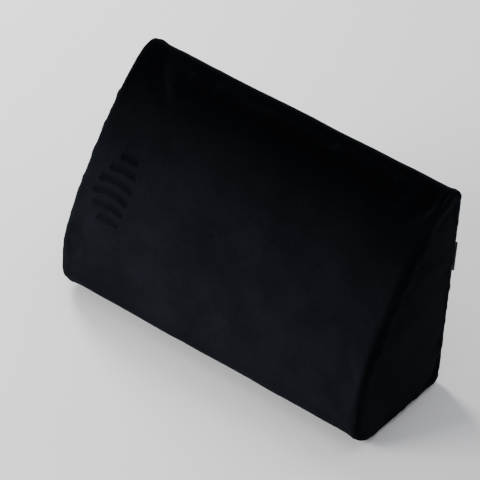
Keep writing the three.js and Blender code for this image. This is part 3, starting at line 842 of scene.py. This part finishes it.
def front_wrap(tube):
    """The velour from the crest over the belly to the heel, with the motif sunk into it."""
    first = BOTTOM_STEPS + SIDE_STEPS
    last = LOOP + BOTTOM_STEPS + HEEL_STEPS
    form = tube[:, np.arange(first, last + 1) % LOOP].transpose(1, 0, 2)
    heights = form[:, :, 2].mean(1)
    crest = int(np.argmax(heights))
    middle = crest + int(np.argmin(np.abs(heights[crest:] - EMBLEM_HEIGHT * heights.max())))
    emblem_run = travel_along(form)[middle]
    up, aside = EMBLEM_ZONE
    rows, (row_at, column_at) = resampled(
        form,
        [(emblem_run - up, emblem_run + up)],
        [(EMBLEM_FROM_END - aside, EMBLEM_FROM_END + aside)],
    )
    n = normals(rows)
    if n[len(n) // 2, :, 1].mean() > 0:
        n = -n
    to_end, to_back = to_edge(column_at), to_edge(row_at)
    relief = seam_relief(to_end, rows, 1) + seam_relief(to_back, rows, 5) * LONG_SEAM
    distance = emblem(column_at - EMBLEM_FROM_END, row_at - emblem_run)
    pressed = 1 / (1 + np.exp(np.minimum(distance / EMBLEM_EDGE, 50)))
    relief += EMBLEM_LIP * bell(distance, 1.9 * MM, 1.3 * MM) - EMBLEM_DEPTH * pressed
    relief += 0.7 * MM * wobble(rows, 55 * MM, 9) + 0.25 * MM * wobble(rows, 21 * MM, 11)
    seam_press_and_shade = bell(np.minimum(to_end, to_back), 0, SEAM_SHADE)
    rows = settled(rows + n * relief[:, :, None])
    inward = -n * FRONT_STEEP
    under = np.array([TURN_ASIDE, 0, 0])
    rows = turned_in_sides(rows, inward[:, 0] + under, inward[:, -1] - under)
    pad = len(TURN_IN)
    inward = np.pad(inward, ((0, 0), (pad, pad), (0, 0)), mode="edge")
    under = np.array([0, 0, TURN_UNDER])
    rows = turned_in(rows, inward[0] + under, inward[-1] - under)
    # Painted shade: the turned-in allowance fully dark, and the seams and the sunk motif darkened, for crushed
    # pile and for shade in these dips.
    shade = np.pad(np.maximum(0.5 * pressed, 0.8 * seam_press_and_shade), pad, constant_values=1.0)
    # The painted light from facing goes on the cloth as a mark.
    mesh = shell("cover_front_wrap_cloth", rows, CLOTH, pressed=shade, lay=nap_lay(rows))
    piece = dressed("front_wrap", mesh, "cushion", "velour", "cover_front_wrap")


def rimmed(name, grid, sign, thick, **marks):
    """Like shell, for an end that faces sign along X: its whole rim is turned in as one ring."""
    number, rim = grid_numbers(grid)
    flat = grid.reshape(-1, 3)
    edge = flat[rim]
    inward = grid.mean((0, 1)) - edge
    inward[:, 0] = 0
    turn = unit(inward) * TURN_ASIDE - np.array([sign * TURN_STEEP, 0, 0])
    points = np.concatenate([flat] + [edge + turn * depth for depth in TURN_IN])
    faces = [quads_of(number)]
    ring = rim
    for k in range(len(TURN_IN)):
        deeper = len(flat) + k * len(rim) + np.arange(len(rim))
        faces.append(np.stack([np.roll(ring, -1), ring, deeper, np.roll(deeper, -1)], 1))
        ring = deeper
    faces = np.concatenate(faces)
    corner = points[faces]
    face_normal = np.cross(corner[:, 2] - corner[:, 0], corner[:, 3] - corner[:, 1])
    normal = np.zeros_like(points)
    for k in range(4):
        np.add.at(normal, faces[:, k], face_normal)
    normal = unit(normal)
    if normal[:len(flat), 0].mean() * sign < 0:
        normal = -normal
    for mark, values in marks.items():
        values = values.ravel()
        # The turned-in ring is fully dark: painted shade inside the seam.
        around = np.ones(len(rim)) if mark == "pressed" else values[rim]
        marks[mark] = np.concatenate([values] + [around] * len(TURN_IN))
    return two_sided(name, points, points - normal * thick, faces, ring, **marks)


def nearest_distance(points, rim, batch=2000):
    """Distance from each grid point to the nearest of some rim points."""
    flat = points.reshape(-1, 3)
    out = [np.sqrt(((flat[k:k + batch, None] - rim[None]) ** 2).sum(2)).min(1)
           for k in range(0, len(flat), batch)]
    return np.concatenate(out).reshape(points.shape[:-1])


def end_panel(name, cap, sign, node):
    """A flat-sewn end: a little domed, drawn in along its seam."""
    rows, _ = resampled(cap)
    rim = np.concatenate([rows[0], rows[-1], rows[:, 0], rows[:, -1]])
    distance = nearest_distance(rows, rim)
    relief = seam_relief(distance, rows, 20 + 3 * sign) + 0.5 * MM * wobble(rows, 45 * MM, 14)
    rows = settled(rows + relief[..., None] * np.array([sign, 0, 0]))
    # Darker along the seam: pressed pile, and painted shade in its dip.
    shade = 0.8 * bell(distance, 0, SEAM_SHADE)
    # The painted light from facing goes on the cloth as a mark.
    mesh = rimmed(node + "_cloth", rows, sign, CLOTH, pressed=shade, lay=nap_lay(rows))
    piece = dressed(name, mesh, "cushion", "velour", node)


def zip_slot():
    """Half the gap between the back panels, where the zip lies."""
    low, high = facing("cover_back")
    return (high - low) / 2


def zip_stops():
    """How far from the middle the zip's outer stops reach."""
    return max(abs(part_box("zip_bottom_stop")[0].x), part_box("zip_top_stop_upper")[1].x)


def zip_opening(x):
    """Half the gap between the back panels at each x: the slot closes to a seam past its ends."""
    past = (np.abs(x) - zip_stops() - 1.5 * MM) / (6 * MM)
    return zip_slot() + (0.15 * MM - zip_slot()) * eased(past)


def back_panel(name, tube, first, last, upper, node):
    """A flat back panel whose edge by the zip is folded and topstitched."""
    form = tube[:, np.arange(first, last + 1)].transpose(1, 0, 2)
    rows, (row_at, column_at) = resampled(form)
    rest = row_at.max() - row_at
    from_zip, from_rim = (row_at, rest) if upper else (rest, row_at)
    to_end = to_edge(column_at)
    relief = sum(np.minimum(seam_relief(distance, rows, seed), 0)
                 for distance, seed in ((to_end, 30), (from_rim, 33)))
    relief -= 0.35 * MM * bell(from_zip, 2.6 * MM, 0.8 * MM)
    relief += 0.3 * MM * (wobble(rows, 38 * MM, 37) - 1)
    rows = rows + relief[..., None] * np.array([0, 1, 0])
    shift = (zip_slot() - zip_opening(rows[..., 0])) * np.exp(-from_zip / (14 * MM))
    up = 1 if upper else -1
    rows[..., 2] -= shift * up
    rows = turned_in_sides(
        settled(rows),
        np.array([TURN_ASIDE, -TURN_STEEP, 0]),
        np.array([-TURN_ASIDE, -TURN_STEEP, 0]),
    )
    folds = [np.array([0, -0.75, 0.05 * up]), np.array([0, -TURN_STEEP, -TURN_UNDER * up])]
    rows = turned_in(rows, *folds[::up])
    shade = 0.6 * bell(np.minimum(to_end, from_rim), 0, 1.5 * MM)
    shade = np.pad(shade, len(TURN_IN), constant_values=0.8)
    mesh = shell(node + "_cloth", rows, CLOTH, pressed=shade)
    piece = dressed(name, mesh, "cushion", "back_cloth", node)


def cover():
    tube, caps = cushion_form()
    front_wrap(tube)
    end_panel("end_panel_left", caps[0], -1, "cover_end_left")
    end_panel("end_panel_right", caps[1], 1, "cover_end_right")
    heel = BOTTOM_STEPS + HEEL_STEPS
    back_panel("back_panel_lower", tube, heel, heel + LOWER_STEPS, False, "cover_back_lower")
    slot = heel + LOWER_STEPS + SLOT_STEPS
    back_panel("back_panel_upper", tube, slot, slot + UPPER_STEPS, True, "cover_back_upper")


# ---- Foam and liner ----

FOAM_INSET = 6.8 * MM  # from the CAD outline
FOAM_END = 4 * MM  # from the CAD node's end
FOAM_ROUND = ((3.4, 0.0), (1.5, 0.9), (0.4, 2.4), (0.0, 4.5))  # mm drawn in, and mm from the end
FOAM_STEPS = 30
LINER = 0.7 * MM
LINER_INSET = 5.4 * MM
LINER_END = 3 * MM
LINER_STEPS = 40
LINER_JOIN = 0.2  # of a step, between the sleeve's two edges


def foam_core():
    """The moulded block: its section in from the cover, with softened end edges."""
    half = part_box("foam_core")[1].x - FOAM_END
    loop = section_loop()
    x = [-half + depth * MM for _, depth in FOAM_ROUND]
    body = np.linspace(-half + 9 * MM, half - 9 * MM, FOAM_STEPS)
    x = np.array([*x, *body, *(-v for v in x[::-1])])
    draw = [FOAM_INSET + extra * MM for extra, _ in FOAM_ROUND]
    draw = draw + [FOAM_INSET] * FOAM_STEPS + draw[::-1]
    points, faces, _, _ = closed_form(np.array([drawn_in(loop, d) for d in draw]), x)
    points += 0.5 * MM * np.stack([wobble(points, 50 * MM, seed) for seed in (60, 61, 62)], 1)
    mesh = closed_mesh("foam_core_block", points, faces)
    piece = dressed("foam_block", mesh, "cushion", "foam", "foam_core")


def liner():
    """The thin bag round the foam: a sleeve with its join along the foot, and two ends."""
    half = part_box("liner_sleeve")[1].x - LINER_END
    loop = drawn_in(section_loop(), LINER_INSET)
    ring = np.concatenate([loop, loop[:1] + (loop[-1:] - loop[:1]) * LINER_JOIN])
    sleeve = grid_of(np.linspace(-half, half, LINER_STEPS), ring[:, :1], ring[:, 1:])
    sleeve += 0.25 * MM * wobble(sleeve, 30 * MM, 70)[..., None]
    mesh = shell("liner_sleeve_cloth", sleeve, LINER)
    tube = dressed("liner_tube", mesh, "cushion", "lining", "liner_sleeve")
    for word, sign in (("left", -1), ("right", 1)):
        patch = cap_grid(loop)
        cap = grid_of(sign * (half + 0.4 * MM), patch[..., 0], patch[..., 1])
        mesh = shell(f"liner_end_{word}_cloth", cap, LINER)
        end = dressed(f"liner_cap_{word}", mesh, "cushion", "lining", f"liner_end_{word}")


# ---- Moulded and cast pieces ----

FIELD_DEPTH = 0.45 * MM
MERGE = 0.003 * MM
FLAT_ANGLE = math.radians(1)  # faces closer in direction than this are one
EDGE_ANGLE = math.radians(28)  # edges sharper than this are rounded
SHADE_ANGLE = math.radians(40)
RIB_RADIUS = 0.65 * MM
RIB_POINTS = 15


def softened(node, name, body, slot, radius, sunk=0.0):
    """The CAD node with its edges rounded, as moulded and cast pieces have them.
    With sunk, its broad outer face keeps a rim that wide round a shallow field."""
    b = bmesh.new()
    b.from_mesh(frame["nodes"][node].data)
    bmesh.ops.remove_doubles(b, verts=b.verts, dist=MERGE)
    bmesh.ops.dissolve_limit(b, angle_limit=FLAT_ANGLE, verts=b.verts, edges=b.edges)
    if sunk:
        outer = max((f for f in b.faces if f.normal.y > 0.99), key=lambda f: f.calc_area())
        bmesh.ops.inset_region(b, faces=[outer], thickness=sunk, depth=0)
        bmesh.ops.inset_region(b, faces=[outer], thickness=FIELD_DEPTH, depth=-FIELD_DEPTH)
    sharp = [e for e in b.edges if e.is_manifold and e.calc_face_angle(0) > EDGE_ANGLE]
    bmesh.ops.bevel(b, geom=sharp, offset=radius, segments=3, profile=0.6, affect="EDGES",
                    clamp_overlap=True)
    bmesh.ops.triangulate(b, faces=[f for f in b.faces if len(f.verts) > 4])
    mesh = bpy.data.meshes.new(name)
    b.to_mesh(mesh)
    b.free()
    dressed(name, mesh, body, slot, node)
    mesh.set_sharp_from_angle(angle=SHADE_ANGLE)


def wire(name, path, radius, sides):
    """A round wire along a path, with closed ends."""
    ahead = unit(np.gradient(path, axis=0))
    side = unit(np.cross(ahead, [1.0, 0, 0]))
    up = np.cross(side, ahead)
    turn = np.linspace(0, 2 * math.pi, sides, endpoint=False)[None, :, None]
    ring = side[:, None] * np.cos(turn) + up[:, None] * np.sin(turn)
    return swept(name, path[:, None] + ring * np.broadcast_to(radius, len(path))[:, None, None])


def grip_ribs():
    """Three rounded ribs in the socket's field, for a thumb to hold."""
    low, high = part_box("buckle_socket")
    t = np.linspace(-1, 1, RIB_POINTS)
    girth = RIB_RADIUS * np.sqrt(np.maximum(1 - np.abs(t) ** 9, 0.02))
    for n in range(3):
        z = (low.z + high.z) / 2 + (9 - 1.2 * n) * MM * t
        path = grid_of(low.x + 25.5 * MM + n * 3 * MM, high.y - FIELD_DEPTH - 0.25 * MM, z)
        mesh = wire(f"grip_rib_{n}_mesh", path, girth, 12)
        dressed(f"grip_rib_{n}", mesh, "socket", "buckle")


# ---- Zip ----

COIL_PITCH = 1.5 * MM
COIL_WIRE = 0.3 * MM
COIL_HEAD = 0.55 * MM  # past the zip's middle line
COIL_TURN = 12  # points on each turn
COIL_ROUND = 6  # points round the wire
TAPE = 0.5 * MM
TAPE_STEPS = 180
TAPE_CORD = 0.12  # share of a tape's width that its corded edge takes


def zip_coil(word, side):
    """One half of the coil: a flattened helix whose heads mesh with the other half's."""
    node = f"zip_coil_{word}"
    low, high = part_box(node)
    middle = sum(facing("zip_coil")) / 2
    outer = high.z if side > 0 else low.z
    inner = middle - side * COIL_HEAD
    reach = abs(outer - inner) / 2 - COIL_WIRE
    rise = (high.y - low.y) / 2 - COIL_WIRE
    turns = int((high.x - low.x - 2 * COIL_WIRE) / COIL_PITCH)
    t = np.linspace(0, turns, turns * COIL_TURN + 1)
    angle = 2 * math.pi * (t + 0.25) * side
    x = low.x + COIL_WIRE + COIL_PITCH * (t + (0 if side > 0 else 0.49))
    x = np.minimum(x, high.x - COIL_WIRE)
    y = (low.y + high.y) / 2 + rise * np.cos(angle)
    z = (outer + inner) / 2 + reach * np.sin(angle)
    mesh = wire(node + "_wire", np.column_stack([x, y, z]), COIL_WIRE, COIL_ROUND)
    dressed(f"coil_{word}", mesh, "cushion", "coil", node)


def zip_tape(word, side):
    """A woven tape with a corded edge; past the stops it closes up to the other one."""
    node = f"zip_tape_{word}"
    low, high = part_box(node)
    middle = sum(facing("zip_tape")) / 2
    inner, outer = (low.z, high.z) if side > 0 else (high.z, low.z)
    x = np.linspace(low.x + 2 * MM, high.x - 2 * MM, TAPE_STEPS)
    past = (np.abs(x) - zip_stops()) / (2.5 * MM)
    near = inner + (middle + side * 0.05 * MM - inner) * eased(past)
    t = np.concatenate([np.linspace(0, TAPE_CORD, 4), np.linspace(TAPE_CORD, 1, 10)[1:]])[:, None]
    cord = 0.08 * MM * np.sin(math.pi * np.minimum(t / TAPE_CORD, 1))
    grid = grid_of(x, high.y - 0.12 * MM + cord, near + (outer - near) * t)
    tape = dressed(f"tape_{word}", shell(node + "_cloth", grid, TAPE), "cushion", "zip_tape", node)


# ---- Straps ----

STRAP = 1.5 * MM
BAR_RADIUS = 1.6 * MM
STRAP_RISE = 14 * MM  # run over which a strap climbs to a bar or down to its seam
STRAP_HEM = 18 * MM
STRAP_TURN = BAR_RADIUS + GAP + STRAP / 2
STRAP_PACE = 3 * MM
CENTRE_BAR = 4.4 * MM  # width of the adjuster's middle bar
EDGE_POINTS = 5
LOW_LAYER = BACK + GAP + STRAP / 2
HIGH_LAYER = LOW_LAYER + STRAP + GAP
BAR_Y = LOW_LAYER + STRAP_TURN
LONG_LOW, LONG_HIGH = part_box("strap_long")
LATCH_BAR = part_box("buckle_latch")[0].x + BAR_RADIUS
SOCKET_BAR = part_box("buckle_socket")[1].x - BAR_RADIUS


def joint_range(name):
    return next(j for j in frame["joints"] if j["name"] == name)["range_m"]


def s_curve(a, b, count=14):
    """Points on a soft step from a to b."""
    t = np.linspace(0, 1, count)
    half = (a[0] + b[0]) / 2
    near, far = 3 * (1 - t) ** 2 * t, 3 * (1 - t) * t**2
    x = (1 - t) ** 3 * a[0] + near * half + far * half + t**3 * b[0]
    y = (1 - t) ** 3 * a[1] + near * a[1] + far * b[1] + t**3 * b[1]
    return list(zip(x, y))


def half_turn(x, start, end, count=18):
    """Points round a bar at x."""
    return [(x + STRAP_TURN * math.cos(a), BAR_Y + STRAP_TURN * math.sin(a))
            for a in np.linspace(start, end, count)]


def run(start, end, level):
    """Points straight along X."""
    count = max(int(abs(end - start) / STRAP_PACE), 2)
    return [(start + (end - start) * k / count, level) for k in range(count + 1)]


def short_strap_path():
    lap = LATCH_BAR - STRAP_RISE
    return (run(-LONG_HIGH.x, LATCH_BAR, LOW_LAYER)
            + half_turn(LATCH_BAR, -math.pi / 2, math.pi / 2)
            + s_curve((LATCH_BAR, BAR_Y + STRAP_TURN), (lap, HIGH_LAYER))
            + run(lap, lap - STRAP_HEM, HIGH_LAYER))


def long_strap_path(split):
    near_seam, near_bar = LONG_HIGH.x - STRAP_RISE, SOCKET_BAR + STRAP_RISE
    return (s_curve((LONG_HIGH.x, LOW_LAYER), (near_seam, HIGH_LAYER))
            + run(near_seam, near_bar, HIGH_LAYER)
            + s_curve((near_bar, HIGH_LAYER), (SOCKET_BAR, BAR_Y + STRAP_TURN))
            + half_turn(SOCKET_BAR, math.pi / 2, 3 * math.pi / 2)
            + run(SOCKET_BAR, split, LOW_LAYER))


def under_run():
    """The strap's layer under itself: x where the adjuster never comes, x of its sewn end, and
    how far the adjuster pushes that end back."""
    low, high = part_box("strap_adjuster")
    travel = -joint_range("adjuster_slide")[0]
    return low.x - travel - 1 * MM, (low.x + high.x) / 2 - CENTRE_BAR / 2 - GAP, travel


def strap(name, node, path, *stands_for):
    """A flat band with round selvedges, as wide as the node, swept along a line in X and Y."""
    line = np.array([p for k, p in enumerate(path) if k == 0 or math.dist(p, path[k - 1]) > 0.05 * MM])
    ahead = unit(np.gradient(line, axis=0))
    out = np.column_stack([-ahead[:, 1], ahead[:, 0]])
    low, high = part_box(node)
    middle, half = (low.z + high.z) / 2, (high.z - low.z) / 2
    t = STRAP / 2
    turn = np.linspace(-math.pi / 2, math.pi / 2, EDGE_POINTS)
    selvedge = [(half - t + t * math.cos(a), t * math.sin(a)) for a in turn]
    across = np.linspace(half - t, -half + t, 9)[1:-1]
    ribs = [(z, t * (0.94 + 0.06 * math.cos(6 * math.pi * z / half))) for z in across]
    one = selvedge + ribs
    section = np.array(one + [(-z, -h) for z, h in one])
    wave = 1 + 0.004 * np.sin(travel_along(line) / (5.1 * MM))
    points = np.zeros((len(line), len(section), 3))
    points[..., :2] = line[:, None] + out[:, None] * section[None, :, 1:]
    points[..., 2] = middle + section[None, :, 0] * wave[:, None]
    mesh = swept(name, points)
    piece = dressed(name, mesh, "cushion", "webbing", *stands_for)
    mesh.set_sharp_from_angle(angle=math.radians(50))
    return piece


# ---- Stitching ----

THREAD = 0.3 * MM
THREAD_SIDES = 6
# Along a stitch: share of its length, then height and girth in thread radii.
STITCH = ((0, -1, 0.5), (0.12, -0.2, 0.9), (0.5, 0.25, 1), (0.88, -0.2, 0.9), (1, -1, 0.5))
STITCH_GAP = 0.12
LONG_STITCH = 3.2 * MM
SHORT_STITCH = 2.4 * MM


def stitch_row(a, b, lift, pace=SHORT_STITCH):
    """Stitches from a to b as pairs of end points, drawn in the X-Z plane at a height along Y."""
    a, b = np.array(a), np.array(b)
    count = max(int(np.linalg.norm(b - a) / pace), 1)
    gap = STITCH_GAP / count
    ends = np.linspace(0, 1, count + 1)
    places = [(a + (b - a) * (s + gap), a + (b - a) * (e - gap)) for s, e in zip(ends[:-1], ends[1:])]
    return [tuple(Vector((p[0], lift, p[1])) for p in pair) for pair in places]


def stitching(name, stitches, slot="webbing"):
    """One piece of thread showing as many stitches, each dipping into the cloth at both ends."""
    b = bmesh.new()
    turn = np.linspace(0, 2 * math.pi, THREAD_SIDES, endpoint=False)
    for p, q in stitches:
        side = (q - p).normalized().cross(Vector((0, 1, 0))).normalized()
        up = side.cross((q - p).normalized())
        rings = []
        for share, height, girth in STITCH:
            centre = p.lerp(q, share) + Vector((0, height * THREAD, 0))
            radius = girth * THREAD
            rings.append([b.verts.new(centre + side * radius * math.cos(a) + up * radius * math.sin(a))
                          for a in turn])
        for one, two in zip(rings[:-1], rings[1:]):
            for k in range(THREAD_SIDES):
                b.faces.new((one[k], one[k - 1], two[k - 1], two[k]))
        b.faces.new(rings[0])
        b.faces.new(rings[-1][::-1])
    bmesh.ops.recalc_face_normals(b, faces=b.faces)
    mesh = bpy.data.meshes.new(name)
    b.to_mesh(mesh)
    b.free()
    return dressed(name, mesh, "cushion", slot, material=THREAD_MATERIAL)


def boxed_cross(x0, x1, layer):
    """The boxed cross that holds a strap's end down, on the outside of a layer."""
    low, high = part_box("strap_short")
    z0, z1 = low.z + 3 * MM, high.z - 3 * MM
    lift = layer + STRAP / 2 + 0.1 * MM
    corners = [(x0, z0), (x1, z0), (x1, z1), (x0, z1)]
    sides = [stitch_row(corners[k], corners[(k + 1) % 4], lift) for k in range(4)]
    crossing = [stitch_row(corners[k], corners[k + 2], lift + 0.1 * MM) for k in (0, 1)]
    return [s for row in sides + crossing for s in row]


def care_label():
    """A folded satin label, sewn along its top edge and lifting a little at the bottom."""
    low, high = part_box("care_label")
    x = np.linspace(low.x, high.x, 14)
    drop = np.linspace(0, 1, 12)[:, None]
    across = np.linspace(-1, 1, len(x))
    curl = 0.35 * MM + 0.9 * MM * drop**2.2
    y = low.y + curl * (1 + 0.25 * across) + 0.12 * MM * np.sin(9 * across) * drop
    grid = grid_of(x, y, high.z - drop * (high.z - low.z))
    piece = dressed("label", shell("care_label_cloth", grid, 0.3 * MM), "cushion", "label", "care_label")
    level = high.z - 1.6 * MM
    row = stitch_row((low.x + 1 * MM, level), (high.x - 1 * MM, level), low.y + 0.5 * MM)
    stitching("label_stitching", row, "label")


def zip_stitching():
    """The row of stitching on each back panel that holds a tape of the zip."""
    half = zip_stops() + 6 * MM
    low, high = facing("cover_back")
    inset = 2.8 * MM
    for word, z in (("upper", high + inset), ("lower", low - inset)):
        row = stitch_row((-half, z), (half, z), BACK - 0.45 * MM, LONG_STITCH)
        stitching(f"zip_stitching_{word}", row, "zip_tape")


def strap_stitching():
    """The boxed crosses of both straps; the long strap's moves with it."""
    lap = LATCH_BAR - STRAP_RISE
    left = -LONG_HIGH.x
    on_short = (boxed_cross(lap - STRAP_HEM + 2 * MM, lap - 1 * MM, HIGH_LAYER)
                + boxed_cross(left + 3 * MM, left + 15 * MM, LOW_LAYER))
    right = LONG_HIGH.x - STRAP_RISE
    on_long = boxed_cross(right - 14 * MM, right - 1 * MM, HIGH_LAYER)
    stitching("short_strap_stitching", on_short)
    return stitching("long_strap_stitching", on_long)


# ---- Putting it together ----

studio()
for part in frame["record"]["subparts"]:
    node_mesh = frame["nodes"][part["node"]].data
    node_mesh.materials.clear()
    node_mesh.materials.append(MATERIALS[part["material_slot"]])

cover()
foam_core()
liner()

for word, side in (("upper", 1), ("lower", -1)):
    zip_coil(word, side)
    zip_tape(word, side)
    softened(f"zip_top_stop_{word}", f"top_stop_{word}", "cushion", "zip_metal", 0.5 * MM)
    softened(f"latch_prong_{word}", f"prong_{word}", f"prong_{word}", "buckle", 0.5 * MM)
softened("zip_bottom_stop", "bottom_stop", "cushion", "zip_metal", 0.5 * MM)
softened("zip_slider", "slider_body", "slider", "zip_metal", 0.25 * MM)
softened("zip_pull", "pull_tab", "pull", "zip_metal", 0.3 * MM)
softened("buckle_socket", "socket_body", "socket", "buckle", 0.6 * MM, sunk=3 * MM)
grip_ribs()
softened("buckle_latch", "latch_body", "cushion", "buckle", 0.6 * MM)
softened("strap_adjuster", "adjuster_frame", "adjuster", "buckle", 0.15 * MM)

SPLIT, SEWN, TRAVEL = under_run()
strap("short_strap", "strap_short", short_strap_path(), "strap_short")
long_strap = strap("long_strap", "strap_long", long_strap_path(SPLIT), "strap_long")
under_strap = strap("long_strap_under", "strap_long", run(SPLIT, SEWN, LOW_LAYER))
care_label()
zip_stitching()
long_stitching = strap_stitching()

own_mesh(under_strap)
for piece in (long_strap, long_stitching):
    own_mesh(piece)
